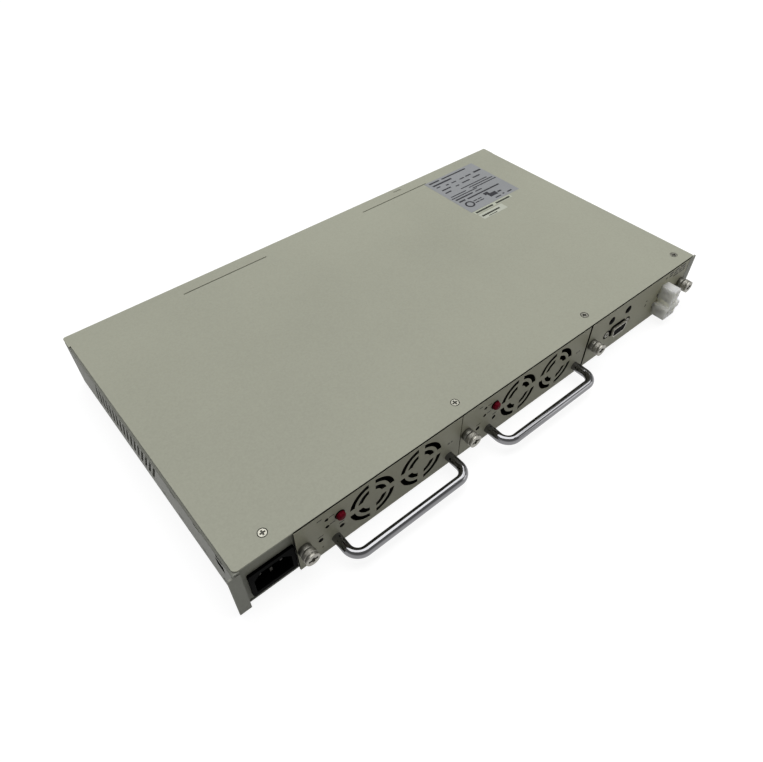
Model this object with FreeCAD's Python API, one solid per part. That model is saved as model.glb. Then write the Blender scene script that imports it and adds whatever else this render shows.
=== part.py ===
import FreeCAD, Part
import math
import os

# A power shelf one rack unit high, with two plug-in power modules and a plug-in interface unit.
# Millimetres. X runs to the right along the front, Y to the rear, Z up.
# Pieces are drawn with Y = 0 on the front plane.
# They are written with the origin at the middle of the underside.

V = FreeCAD.Vector
RIGHT = V(1, 0, 0)
REAR = V(0, 1, 0)
UP = V(0, 0, 1)

# Sheet metal
sheet = 1.2                  # chassis, posts and inlet panel
cover_sheet = 1.2
face_sheet = 1.2             # faceplates
tray_sheet = 1.0             # trays of the plug-in units
bend_radius = 2.0            # outside of a chassis fold
tray_bend = 1.8              # outside of a tray fold

# Fits
slide_gap = 0.3              # plug-in unit above the chassis floor
face_gap = 0.6               # between the two module faceplates
cover_gap = 0.3              # faceplate top to the underside of the cover
seat_gap = 0.3               # faceplate back to the post behind it
side_gap = 0.5               # tray to the post beside it
hole_clearance = 0.1         # round piece in its hole, each side
thread_clearance = 0.08      # thumbscrew shank in its ferrule and nut
plug_clearance = 0.3         # rear plug in its socket, each side
shaft_clearance = 0.05       # fan rotor on its shaft
cutout_clearance = 0.2       # inlet body in its panel

# Units in the shelf, from the left
inlet_bay_width = 33.8       # left flange to the first faceplate
controls_width = 35.85       # left edge of a module faceplate to its first fan
fan_size = 38.0
fan_space = 1.15             # between the two fans of a module
tail_width = 15.2            # last fan to the right edge of the faceplate
interface_seam = 2.2         # second module to the interface unit
interface_face_width = 123.2
flange_seam = 0.4            # interface unit to the right flange
fan_margin = 1.55            # faceplate above and below a fan
module_depth = 190.0         # front plane to the rear end of a tray
plug_room = 14.0             # tray end to the backplane
rear_space = 29.1            # backplane to the rear face

# Chassis
flange_width = 7.6
flange_reach = 3.2           # flange beyond the side wall
left_flange_drop = 2.7       # rim to the top of the left front flange
left_flange_corner = 1.5
right_flange_drop = 0.25
right_flange_corner = 0.5
front_setback = 3.1          # floor and inlet panel behind the front plane
rear_flange = 10.0
post_width = 10.4
vent_count = 17
vent_pitch = 5.4
vent_width = 2.4
vent_height = 27.0
vent_lean = 32.0             # degrees from upright, tops towards the front
vent_middle_y = 142.7
vent_drop = 16.4             # rim to the middle of the vents
side_window_length = 9.0
side_window_height = 8.0
side_window_y = 16.5
side_window_drop = 11.9      # rim to the middle of the window
hook_slot_length = 7.5
hook_slot_height = 2.4
hook_slot_y = (14.5, 39.0, 67.5)
hook_slot_drop = 2.9
foot_slot_length = 6.0
foot_slot_height = 2.0
foot_slot_y = (17.5, 41.5, 72.0, 94.5)
foot_slot_z = 10.0
rear_vent_count = 12
rear_vent_pitch = 7.0
rear_vent_width = 3.0
rear_vent_height = 22.0
lug_count = 4
lug_width = 12.0
lug_height = 13.0

# Cover
cover_setback = 0.4
cover_left_inset = 1.4       # cover edge inside the outer face of the side wall
cover_right_inset = 0.5
cover_left_corner = 3.0
cover_right_corner = 1.0
hook_line = 11.8             # rear edge to the slits and to the wider rear strip
slit_length = 73.8
slit_width = 0.9
slit_spacing = 173.5
mark_slot_length = 8.0
mark_slot_width = 1.4
mark_slot_x = 95.3
mark_slot_inset = 4.4        # rear edge to the slot
cover_screw_y = 11.0
cover_screw_head = 5.2       # diameter
cover_screw_ring = 0.45      # shallow relief around the head
cover_screw_ring_depth = 0.7
cover_screw_shank = 3.0
cover_screw_length = 4.6
cross_width = 1.0
cross_length = 3.4
cross_depth = 0.6
inlet_screw_offset = 21.3    # left flange to the first cover screw
post_screw_offset = (1.8, 1.8, 6.1)   # web of the middle, right and end post to its cover screw
panel_flange = 17.0          # top flange of the inlet panel
panel_foot = 12.0            # bottom flange of the inlet panel

# Mains inlet
bezel_width = 30.0
bezel_height = 23.2
bezel_thick = 2.0
bezel_corner = 1.0
inlet_offset = 1.35          # to the right of the middle of its bay
inlet_z = 17.6
inlet_wall = 1.5
cavity_width = 24.4
cavity_height = 16.6
cavity_chamfer = 5.0
cavity_depth = 17.0
inlet_depth = 22.0           # body behind the panel's front face
pin_wide = 2.0
pin_tall = 4.0
pin_spacing = 7.0            # live and neutral each side of the middle
pin_offset = 2.0             # earth below and the others above the middle
pin_setback = 3.4            # tips behind the mouth of the cavity
pin_tail = 8.0               # tabs behind the body
wire_diameter = 3.0
wire_entry = 7.0
terminal_width = 24.0
terminal_height = 12.0
terminal_depth = 12.0

# Boards and their connectors
board_thick = 1.6
module_boss = 4.0
interface_boss = 2.0
boss_diameter = 6.0
boss_inset = 8.0
board_margin = 1.5
module_board_front = 40.0
interface_board_front = 3.0
plug_width = 60.0
plug_height = 8.0
plug_overlap = 10.0          # plug over its board
socket_wall = 1.5
socket_depth = 9.0
socket_back = 1.5
plug_end_gap = 0.5
backplane_low = 4.0
backplane_height = 26.0
backplane_margin = 3.0

# Power module
tray_drop = 1.6              # tray wall below the faceplate top
tray_inset = 0.4             # tray inside the right edge of the faceplate
tab_width = 6.0              # tabs of the tray behind the faceplate
tab_height = 16.0
tab_drop = 3.0               # top of the tray wall to the tab
handle_rod = 6.6
handle_reach = 18.7          # faceplate to the middle of the bar
handle_bend = 8.4            # radius at the middle of the rod
handle_z = 8.7               # above the lower edge of the faceplate
handle_left = 26.5
handle_right_inset = 9.5
handle_screw = 4.0
handle_screw_head = 7.0
handle_screw_head_height = 2.4
handle_screw_entry = 8.0
thumb_inset = 4.6
lens_diameter = 6.1
lens_reach = 3.4
lens_round = 1.9
lens_rim = 0.7
lens_rim_thick = 1.0
lens_from_fan = 5.25
lens_z = 29.7
large_lamp = 3.4
large_lamp_x = 16.1
large_lamp_from_fan = 4.35
large_lamp_z = 24.9          # below the top edge of the faceplate, as the tabs of the tray are
small_lamp = 2.6
small_lamp_from_fan = 14.35
small_lamp_z = (15.6, 8.4)   # below the top edge of the faceplate
lamp_recess = 0.4
lamp_tail = 3.0
lamp_rim = 0.4
lamp_rim_thick = 0.8
reset_hole = 1.2
reset_hole_x = 16.8
reset_hole_z = 7.6

# Fans and their grilles
fan_rise = 1.0               # fans above the middle of the faceplate
fan_depth = 20.0
fan_corner = 2.5
fan_wall = 1.1
fan_hub = 16.4
fan_hole = 3.0
fan_hole_inset = 3.0
fan_strut = 2.0
fan_shaft = 3.0
rotor_hub = 16.0
rotor_front_gap = 3.0
rotor_rear_gap = 0.6
rotor_tip_gap = 0.7
rotor_blades = 7
blade_thick = 0.9
blade_chord = 11.0
blade_angle = 40.0
blade_root = 1.0             # blade sunk in its hub
grille_border = 1.7
grille_slot = 3.5
grille_ring = 2.6
grille_bar = 5.0

# Captive thumbscrews
thumb_shank = 4.0
thumb_knob = 9.6
thumb_reach = 9.4
thumb_engage = 9.0           # shank behind the front plane
thumb_slot_length = 6.4
thumb_slot_width = 1.8
thumb_slot_depth = 1.8
thumb_cross = 4.4
thumb_groove = 0.3
thumb_groove_back = 2.0      # groove behind the end of the knob
ferrule_collar = 9.0
ferrule_height = 3.8
ferrule_neck = 5.8
ferrule_gap = 0.3
nut_diameter = 6.6
nut_height = 3.2

# Parts on the module board
sink_width = 26.0
sink_base = 3.0
sink_fins = 6
sink_fin = 1.6
sink_height = 25.0
sink_length = 100.0
sink_gap = 6.0
sink_front = 8.0
core_width = 36.0
core_depth = 18.0
core_height = 26.0
coil_width = 24.0
coil_depth = 32.0
coil_height = 20.0
coil_round = 4.0
core_x = 58.0
core_y = 40.0
cap_diameter = 22.0
cap_height = 27.0
cap_round = 1.2
cap_count = 3
cap_pitch = 26.0
cap_inset = 18.0
cap_front = 26.0

# Interface unit
interface_thumb_inset = 4.8
data_x = 36.6                # left edge of the faceplate to the data connector
data_z = 18.0                # above the lower edge of the faceplate
shell_width = 17.0
shell_height = 8.4
shell_wall = 0.5
shell_slope = 10.0
shell_corner = 2.0
shell_reach = 2.6
shell_flange_width = 30.8
shell_flange_height = 12.5
shell_flange_thick = 0.8
shell_cutout_gap = 1.4
insert_drop = 0.3
insert_rear = 9.0
insert_rear_width = 19.0
insert_rear_height = 10.6
contact_hole = 1.1
contact_pitch = 2.77
contact_row = 2.84
contact_hole_depth = 5.0
jack_spacing = 24.99
jack_flats = 4.75
jack_reach = 0.2
jack_thread = 2.4
jack_thread_depth = 5.0
jack_shank = 3.0
jack_shank_length = 4.5
jack_hole = 8.0
view_hole = 6.8
view_hole_x = (25.5, 45.7)
view_hole_z = 31.3
output_right = 29.1          # right edge of the faceplate to the middle of the output connector
output_reach = 11.7
output_rear = 14.0
output_low_width = 14.4
output_low_height = 10.8
output_high_width = 7.8
output_high_height = 15.8
output_key_width = 3.6
output_key_height = 5.0
output_key_length = 7.5
output_gap = 0.3
output_cavity = 3.6
output_contact = 2.2
output_cavity_depth = 9.0
output_contact_setback = 2.0
output_contact_tail = 5.0
output_low_pitch = 6.8
output_high_pitch = 7.0
latch_slot_width = 2.4
latch_slot_height = 4.4
latch_slot_rise = 6.8        # top of the lower block to the middle of the upper slot
latch_slot_drop = 1.9        # top of the lower block to the middle of the lower slot

# Worked out from the sizes above
module_face_width = controls_width + 2 * fan_size + fan_space + tail_width
shelf_width = (2 * flange_width + inlet_bay_width + 2 * module_face_width + face_gap
               + interface_seam + interface_face_width + flange_seam)
shelf_depth = module_depth + plug_room + rear_space
face_low = sheet + slide_gap
face_top = face_low + fan_size + 2 * fan_margin
rim_z = face_top + cover_gap
shelf_height = rim_z + cover_sheet
face_mid = (face_low + face_top) / 2
half_width = shelf_width / 2
flange_in = half_width - flange_width
wall_out = half_width - flange_reach
wall_in = wall_out - sheet
module_x = (-flange_in + inlet_bay_width,
            -flange_in + inlet_bay_width + module_face_width + face_gap)
interface_x = module_x[1] + module_face_width + interface_seam
interface_end = interface_x + interface_face_width
post_front = face_sheet + seat_gap
backplane_y = module_depth + plug_room
tray_top = face_top - tray_drop
tray_floor = face_low + tray_sheet
inlet_x = (module_x[0] - flange_in) / 2 + inlet_offset
inlet_face = front_setback - bezel_thick
fan_x = (controls_width + fan_size / 2, controls_width + fan_size * 1.5 + fan_space)
fan_z = face_mid + fan_rise
lens_x = controls_width - lens_from_fan
handle_right = module_face_width - handle_right_inset
handle_height = face_low + handle_z


def block(x0, x1, y0, y1, z0, z1):
    """A box between two opposite corners."""
    return Part.makeBox(x1 - x0, y1 - y0, z1 - z0, V(x0, y0, z0))


def rod(x, z, diameter, y0, y1):
    """A round bar along Y."""
    return Part.makeCylinder(diameter / 2, y1 - y0, V(x, y0, z), REAR)


def stud(x, y, diameter, z0, z1):
    """A round bar along Z."""
    return Part.makeCylinder(diameter / 2, z1 - z0, V(x, y, z0), UP)


def join(shapes):
    return shapes[0].multiFuse(shapes[1:]).removeSplitter()


def rounded(shape, radius, wanted):
    """Rounds the edges whose middle point and direction pass the test."""
    edges = [edge for edge in shape.Edges if wanted(edge.CenterOfMass, edge.tangentAt(edge.FirstParameter))]
    return shape.makeFillet(radius, edges)


def along(direction, axis):
    return abs(direction.dot(axis)) > 0.99


def prism(points, y0, y1):
    """An outline of (x, z) points carried along Y."""
    corners = [V(x, y0, z) for x, z in points]
    face = Part.Face(Part.makePolygon(corners + corners[:1]))
    return face.extrude(V(0, y1 - y0, 0))


def side_slot(y, z, height, width):
    """A round-ended slot across the whole width, which opens both side walls."""
    straight = height - width
    slot = block(-half_width, half_width, y - width / 2, y + width / 2, z - straight / 2, z + straight / 2)
    ends = [Part.makeCylinder(width / 2, shelf_width, V(-half_width, y, z + side * straight / 2), RIGHT)
            for side in (-1, 1)]
    return join([slot] + ends)


def rear_slot(x, z, height, width):
    """A round-ended slot through the rear wall."""
    straight = height - width
    front = shelf_depth - 2 * sheet
    rear = shelf_depth + sheet
    slot = block(x - width / 2, x + width / 2, front, rear, z - straight / 2, z + straight / 2)
    ends = [rod(x, z + side * straight / 2, width, front, rear) for side in (-1, 1)]
    return join([slot] + ends)


def save(node, shape):
    """Writes one node, moved so that the origin is at the middle of the underside."""
    moved = shape.copy()
    moved.translate(V(0, -shelf_depth / 2, 0))
    moved.exportStep(os.path.join("parts", node + ".step"))


# Where the repeated pieces stand

def tray_span(unit):
    """Left and right outer faces of a plug-in unit's tray: 0 and 1 are modules, 2 is the interface unit."""
    if unit == 2:
        return (interface_x + post_width + side_gap, interface_end - post_width - side_gap)
    return (module_x[unit] + post_width + side_gap, module_x[unit] + module_face_width - tray_inset)


def tray_middle(unit):
    left, right = tray_span(unit)
    return (left + right) / 2


def board_top(boss):
    return tray_floor + boss + board_thick


def boss_of(unit):
    return interface_boss if unit == 2 else module_boss


posts = {
    "bay_post_left": (module_x[0], 1),
    "bay_post_middle": (module_x[1], 1),
    "bay_post_right": (interface_x, 1),
    "bay_post_end": (interface_end, -1),
}
thumb_x = {
    "bay_post_left": module_x[0] + thumb_inset,
    "bay_post_middle": module_x[1] + thumb_inset,
    "bay_post_right": interface_x + interface_thumb_inset,
    "bay_post_end": interface_end - interface_thumb_inset,
}
screwed_posts = ("bay_post_middle", "bay_post_right", "bay_post_end")
interface_posts = ("bay_post_right", "bay_post_end")
cover_screw_x = [-flange_in + inlet_screw_offset]
for post_name, offset in zip(screwed_posts, post_screw_offset):
    edge, side = posts[post_name]
    cover_screw_x.append(edge + side * (sheet + offset))
pin_places = (
    (inlet_x - pin_spacing, inlet_z + pin_offset),
    (inlet_x, inlet_z - pin_offset),
    (inlet_x + pin_spacing, inlet_z + pin_offset),
)
lug_pitch = 2 * (flange_in - backplane_margin) / lug_count
lug_x = [-flange_in + backplane_margin + lug_pitch * (i + 0.5) for i in range(lug_count)]


# Shelf

def chassis_tray():
    outer = block(-wall_out, wall_out, 0, shelf_depth, 0, rim_z)
    outer = rounded(outer, bend_radius, lambda c, d: along(d, REAR) or c.y > shelf_depth - sheet)
    inner = block(-wall_in, wall_in, -sheet, shelf_depth - sheet, sheet, rim_z - sheet)
    inner = rounded(inner, bend_radius - sheet, lambda c, d: along(d, REAR) or c.y > shelf_depth - 2 * sheet)
    mouth = block(-flange_in, flange_in, -sheet, shelf_depth - rear_flange, rim_z - 2 * sheet, shelf_height)
    front = block(-wall_in, wall_in, -sheet, front_setback, -sheet, rim_z - sheet)
    body = outer.cut([inner, mouth, front])
    left_flange = block(-half_width, -flange_in, 0, sheet, 0, rim_z - left_flange_drop)
    left_flange = rounded(left_flange, left_flange_corner,
                          lambda c, d: along(d, REAR) and c.z > face_mid and c.x < -wall_out)
    right_flange = block(flange_in, half_width, 0, sheet, 0, rim_z - right_flange_drop)
    right_flange = rounded(right_flange, right_flange_corner,
                           lambda c, d: along(d, REAR) and c.z > face_mid and c.x > wall_out)
    lug_face = backplane_y + board_thick
    lugs = [block(x - lug_width / 2, x + lug_width / 2, lug_face, lug_face + sheet, sheet / 2, lug_height)
            for x in lug_x]
    body = join([body, left_flange, right_flange] + lugs)
    openings = []
    first_vent = vent_middle_y - vent_pitch * (vent_count - 1) / 2
    for i in range(vent_count):
        middle = V(0, first_vent + i * vent_pitch, rim_z - vent_drop)
        vent = side_slot(middle.y, middle.z, vent_height / math.cos(math.radians(vent_lean)), vent_width)
        vent.rotate(middle, RIGHT, vent_lean)
        openings.append(vent)
    window_z = rim_z - side_window_drop
    openings.append(block(-half_width, half_width,
                          side_window_y - side_window_length / 2, side_window_y + side_window_length / 2,
                          window_z - side_window_height / 2, window_z + side_window_height / 2))
    hook_z = rim_z - hook_slot_drop
    for y in hook_slot_y:
        openings.append(block(-half_width, half_width, y - hook_slot_length / 2, y + hook_slot_length / 2,
                              hook_z - hook_slot_height / 2, hook_z + hook_slot_height / 2))
    for y in foot_slot_y:
        openings.append(block(-half_width, half_width, y - foot_slot_length / 2, y + foot_slot_length / 2,
                              foot_slot_z - foot_slot_height / 2, foot_slot_z + foot_slot_height / 2))
    for unit in range(3):
        first = tray_middle(unit) - rear_vent_pitch * (rear_vent_count - 1) / 2
        for i in range(rear_vent_count):
            x = first + i * rear_vent_pitch
            openings.append(rear_slot(x, face_mid, rear_vent_height, rear_vent_width))
    return body.cut(openings)


def top_cover():
    main = block(-wall_out + cover_left_inset, wall_out - cover_right_inset, cover_setback, shelf_depth,
                 rim_z, shelf_height)
    main = rounded(main, cover_left_corner, lambda c, d: along(d, UP) and c.y < face_mid and c.x < 0)
    main = rounded(main, cover_right_corner, lambda c, d: along(d, UP) and c.y < face_mid and c.x > 0)
    strip = block(-wall_out, wall_out, shelf_depth - hook_line, shelf_depth, rim_z, shelf_height)
    strip = rounded(strip, bend_radius, lambda c, d: along(d, UP) and c.y > shelf_depth - hook_line / 2)
    cover = join([main, strip])
    holes = []
    for x in cover_screw_x:
        top = cover_screw_head / 2 + hole_clearance
        holes.append(Part.makeCone(top - cover_sheet, top, cover_sheet, V(x, cover_screw_y, rim_z), UP))
        holes.append(stud(x, cover_screw_y, cover_screw_head + 2 * cover_screw_ring,
                          shelf_height - cover_screw_ring_depth, shelf_height + cover_sheet))
    slit_y = shelf_depth - hook_line
    for side in (-1, 1):
        x = side * slit_spacing / 2
        holes.append(block(x - slit_length / 2, x + slit_length / 2,
                           slit_y - slit_width / 2, slit_y + slit_width / 2,
                           rim_z - cover_sheet, shelf_height + cover_sheet))
    mark_y = shelf_depth - mark_slot_inset
    holes.append(block(mark_slot_x - mark_slot_length / 2, mark_slot_x + mark_slot_length / 2,
                       mark_y - mark_slot_width / 2, mark_y + mark_slot_width / 2,
                       rim_z + cover_sheet / 2, shelf_height + cover_sheet))
    return cover.cut(holes)


def cover_screw(x):
    head_depth = (cover_screw_head - cover_screw_shank) / 2
    head = Part.makeCone(cover_screw_shank / 2, cover_screw_head / 2, head_depth,
                         V(x, cover_screw_y, shelf_height - head_depth), UP)
    shank = stud(x, cover_screw_y, cover_screw_shank, shelf_height - cover_screw_length,
                 shelf_height - head_depth)
    cross = [block(x - wide / 2, x + wide / 2, cover_screw_y - long / 2, cover_screw_y + long / 2,
                   shelf_height - cross_depth, shelf_height + cross_depth)
             for wide, long in ((cross_width, cross_length), (cross_length, cross_width))]
    return join([head, shank]).cut(cross)


def cover_screw_hole(x):
    """Clearance for a cover screw in the flange below the cover."""
    return stud(x, cover_screw_y, cover_screw_shank + 2 * hole_clearance, rim_z - 2 * sheet, shelf_height)


def bay_post(name):
    edge, side = posts[name]
    left = min(edge, edge + side * post_width)
    right = max(edge, edge + side * post_width)
    outer = block(left, right, post_front, module_depth, sheet, rim_z)
    outer = rounded(outer, bend_radius, lambda c, d: along(d, REAR) and abs(c.x - edge) < sheet)
    inner = block(left + side * sheet, right + side * sheet, post_front + sheet, module_depth + sheet,
                  2 * sheet, rim_z - sheet)
    holes = [inner, rod(thumb_x[name], face_mid, thumb_shank + 2 * hole_clearance, 0, post_front + 2 * sheet)]
    if name in screwed_posts:
        holes.append(cover_screw_hole(cover_screw_x[1 + screwed_posts.index(name)]))
    return outer.cut(holes)


def captive_nut(name):
    nut_front = post_front + sheet
    nut = rod(thumb_x[name], face_mid, nut_diameter, nut_front, nut_front + nut_height)
    bore = rod(thumb_x[name], face_mid, thumb_shank + 2 * thread_clearance, 0, nut_front + 2 * nut_height)
    return nut.cut(bore)


def inlet_panel():
    left = -flange_in
    right = module_x[0]
    wall = block(left, right, front_setback, front_setback + sheet, sheet, rim_z)
    head = block(left, right, front_setback, front_setback + panel_flange, rim_z - sheet, rim_z)
    foot = block(left, right, front_setback, front_setback + panel_foot, sheet, 2 * sheet)
    panel = join([wall, head, foot])
    panel = rounded(panel, bend_radius,
                    lambda c, d: along(d, RIGHT) and abs(c.y - front_setback) < 0.01)
    wide = cavity_width / 2 + inlet_wall + cutout_clearance
    tall = cavity_height / 2 + inlet_wall + cutout_clearance
    window = block(inlet_x - wide, inlet_x + wide, 0, front_setback + 2 * sheet,
                   inlet_z - tall, inlet_z + tall)
    return panel.cut([window, cover_screw_hole(cover_screw_x[0])])


def pin_blade(place, y0, y1):
    x, z = place
    return block(x - pin_wide / 2, x + pin_wide / 2, y0, y1, z - pin_tall / 2, z + pin_tall / 2)


def inlet_housing():
    bezel = block(inlet_x - bezel_width / 2, inlet_x + bezel_width / 2, inlet_face, front_setback,
                  inlet_z - bezel_height / 2, inlet_z + bezel_height / 2)
    bezel = rounded(bezel, bezel_corner, lambda c, d: along(d, REAR))
    wide = cavity_width / 2
    tall = cavity_height / 2
    body = block(inlet_x - wide - inlet_wall, inlet_x + wide + inlet_wall, front_setback - bezel_thick / 2,
                 front_setback + inlet_depth, inlet_z - tall - inlet_wall, inlet_z + tall + inlet_wall)
    outline = (
        (inlet_x - wide, inlet_z - tall),
        (inlet_x + wide, inlet_z - tall),
        (inlet_x + wide, inlet_z + tall - cavity_chamfer),
        (inlet_x + wide - cavity_chamfer, inlet_z + tall),
        (inlet_x - wide + cavity_chamfer, inlet_z + tall),
        (inlet_x - wide, inlet_z + tall - cavity_chamfer),
    )
    cavity = prism(outline, 0, inlet_face + cavity_depth)
    rear = front_setback + inlet_depth
    slots = [pin_blade(place, inlet_face + cavity_depth - sheet, rear + sheet) for place in pin_places]
    return join([bezel, body]).cut([cavity] + slots)


def inlet_pin(place):
    return pin_blade(place, inlet_face + pin_setback, front_setback + inlet_depth + pin_tail)


def mains_wire(place):
    x, z = place
    start = front_setback + inlet_depth + pin_tail
    return rod(x, z, wire_diameter, start, backplane_y - terminal_depth + wire_entry)


def mains_terminal():
    terminal = block(inlet_x - terminal_width / 2, inlet_x + terminal_width / 2, backplane_y - terminal_depth,
                     backplane_y, inlet_z - terminal_height / 2, inlet_z + terminal_height / 2)
    front = backplane_y - 2 * terminal_depth
    entries = [rod(x, z, wire_diameter + 2 * hole_clearance, front, backplane_y - terminal_depth + wire_entry)
               for x, z in pin_places]
    return terminal.cut(entries)


def backplane_board():
    edge = flange_in - backplane_margin
    top = backplane_low + backplane_height
    return block(-edge, edge, backplane_y, backplane_y + board_thick, backplane_low, top)


def plug_box(unit, grow, y0, y1):
    """The outline of a unit's rear plug, grown by a clearance or a wall."""
    x = tray_middle(unit)
    low = board_top(boss_of(unit))
    wide = plug_width / 2 + grow
    return block(x - wide, x + wide, y0, y1, low - grow, low + plug_height + grow)


def backplane_socket(unit):
    front = backplane_y - socket_depth
    shell = plug_box(unit, plug_clearance + socket_wall, front, backplane_y)
    return shell.cut(plug_box(unit, plug_clearance, front - socket_depth, backplane_y - socket_back))


# Plug-in units

def tray(unit):
    left, right = tray_span(unit)
    outer = block(left, right, face_sheet, module_depth, face_low, tray_top)
    outer = rounded(outer, tray_bend, lambda c, d: along(d, REAR) and c.z < face_mid)
    inner = block(left + tray_sheet, right - tray_sheet, 0, module_depth + sheet,
                  tray_floor, tray_top + sheet)
    inner = rounded(inner, tray_bend - tray_sheet, lambda c, d: along(d, REAR) and c.z < face_mid)
    board_front = interface_board_front if unit == 2 else module_board_front
    bosses = [stud(x, y, boss_diameter, tray_floor - tray_sheet / 2, tray_floor + boss_of(unit))
              for x in (left + boss_inset, right - boss_inset)
              for y in (board_front + boss_inset, module_depth - boss_inset)]
    tab_top = tray_top - tab_drop
    tabs = [block(x, x + tab_width, face_sheet, face_sheet + tray_sheet, tab_top - tab_height, tab_top)
            for x in (left, right - tab_width)]
    return join([outer.cut(inner)] + bosses + tabs)


def circuit_board(unit):
    left, right = tray_span(unit)
    edge = tray_sheet + board_margin
    front = interface_board_front if unit == 2 else module_board_front
    low = tray_floor + boss_of(unit)
    return block(left + edge, right - edge, front, module_depth, low, low + board_thick)


def rear_plug(unit):
    return plug_box(unit, 0, module_depth - plug_overlap, backplane_y - socket_back - plug_end_gap)


def grille(x):
    """Two broken rings of slots in front of a fan."""
    outer = fan_size / 2 - grille_border
    rings = []
    for radius in (outer, outer - grille_slot - grille_ring):
        disc = rod(x, fan_z, 2 * radius, -sheet, 2 * face_sheet)
        rings.append(disc.cut(rod(x, fan_z, 2 * (radius - grille_slot), -2 * sheet, 3 * face_sheet)))
    bars = [block(x - wide, x + wide, -2 * sheet, 3 * face_sheet, fan_z - tall, fan_z + tall)
            for wide, tall in ((grille_bar / 2, fan_size / 2), (fan_size / 2, grille_bar / 2))]
    return Part.makeCompound(rings).cut(bars)


def lamp_places(left):
    """Middle and diameter of each indicator lamp of a module."""
    places = [(left + large_lamp_x, face_top - large_lamp_z, large_lamp),
              (left + controls_width - large_lamp_from_fan, face_top - large_lamp_z, large_lamp)]
    for z in small_lamp_z:
        places.append((left + controls_width - small_lamp_from_fan, face_top - z, small_lamp))
    return places


def faceplate_hole(x, z, diameter):
    return rod(x, z, diameter, -sheet, 2 * face_sheet)


def module_faceplate(left):
    plate = block(left, left + module_face_width, 0, face_sheet, face_low, face_top)
    holes = [grille(left + x) for x in fan_x]
    holes.append(faceplate_hole(left + thumb_inset, face_mid, ferrule_neck))
    for x in (handle_left, handle_right):
        holes.append(faceplate_hole(left + x, handle_height, handle_screw + 2 * hole_clearance))
    holes.append(faceplate_hole(left + lens_x, face_low + lens_z, lens_diameter + 2 * hole_clearance))
    for x, z, diameter in lamp_places(left):
        holes.append(faceplate_hole(x, z, diameter + 2 * hole_clearance))
    holes.append(faceplate_hole(left + reset_hole_x, face_low + reset_hole_z, reset_hole))
    return plate.cut(holes)


def handle(left):
    """One bent rod with tapped ends that stand on the faceplate."""
    x0 = left + handle_left
    x1 = left + handle_right
    z = handle_height
    turn = handle_bend * math.sqrt(0.5)
    corner_y = -handle_reach + handle_bend
    bar_start = V(x0 + handle_bend, -handle_reach, z)
    bar_end = V(x1 - handle_bend, -handle_reach, z)
    first_middle = bar_start + V(-turn, handle_bend - turn, 0)
    last_middle = bar_end + V(turn, handle_bend - turn, 0)
    path = Part.Wire([
        Part.LineSegment(V(x0, 0, z), V(x0, corner_y, z)).toShape(),
        Part.Arc(V(x0, corner_y, z), first_middle, bar_start).toShape(),
        Part.LineSegment(bar_start, bar_end).toShape(),
        Part.Arc(bar_end, last_middle, V(x1, corner_y, z)).toShape(),
        Part.LineSegment(V(x1, corner_y, z), V(x1, 0, z)).toShape(),
    ])
    section = Part.Wire(Part.makeCircle(handle_rod / 2, V(x0, 0, z), REAR))
    bar = path.makePipeShell([section], True, True)
    tapped = [rod(x, z, handle_screw + 2 * hole_clearance, -handle_screw_entry - sheet, sheet)
              for x in (x0, x1)]
    return bar.cut(tapped)


def handle_screws(left):
    screws = []
    for x in (left + handle_left, left + handle_right):
        head = rod(x, handle_height, handle_screw_head, face_sheet, face_sheet + handle_screw_head_height)
        shank = rod(x, handle_height, handle_screw, -handle_screw_entry, face_sheet)
        screws.append(join([head, shank]))
    return Part.makeCompound(screws)


def ferrule(x):
    collar = rod(x, face_mid, ferrule_collar, -ferrule_height, 0)
    neck = rod(x, face_mid, ferrule_neck, 0, face_sheet)
    bore = rod(x, face_mid, thumb_shank + 2 * thread_clearance, -2 * ferrule_height, 2 * face_sheet)
    return join([collar, neck]).cut(bore)


def thumbscrew(x):
    knob_rear = -ferrule_height - ferrule_gap
    knob = rod(x, face_mid, thumb_knob, -thumb_reach, knob_rear)
    shank = rod(x, face_mid, thumb_shank, knob_rear, thumb_engage)
    slot_end = -thumb_reach + thumb_slot_depth
    slot = block(x - thumb_slot_length / 2, x + thumb_slot_length / 2, -2 * thumb_reach, slot_end,
                 face_mid - thumb_slot_width / 2, face_mid + thumb_slot_width / 2)
    cross = block(x - thumb_slot_width / 2, x + thumb_slot_width / 2, -2 * thumb_reach, slot_end,
                  face_mid - thumb_cross / 2, face_mid + thumb_cross / 2)
    groove_y = -thumb_reach + thumb_groove_back
    groove = rod(x, face_mid, 2 * thumb_knob, groove_y, groove_y + thumb_groove)
    groove = groove.cut(rod(x, face_mid, thumb_knob - 2 * thumb_groove, -2 * thumb_reach, thumb_reach))
    return join([knob, shank]).cut([slot, cross, groove])


def status_lens(left):
    x = left + lens_x
    z = face_low + lens_z
    body = rod(x, z, lens_diameter, -lens_reach, face_sheet)
    body = rounded(body, lens_round, lambda c, d: c.y < -lens_reach + 0.01)
    rim = rod(x, z, lens_diameter + 2 * lens_rim, face_sheet, face_sheet + lens_rim_thick)
    return join([body, rim])


def indicator_lamps(left):
    lamps = []
    for x, z, diameter in lamp_places(left):
        body = rod(x, z, diameter, lamp_recess, face_sheet + lamp_tail)
        rim = rod(x, z, diameter + 2 * lamp_rim, face_sheet, face_sheet + lamp_rim_thick)
        lamps.append(join([body, rim]))
    return Part.makeCompound(lamps)


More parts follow.
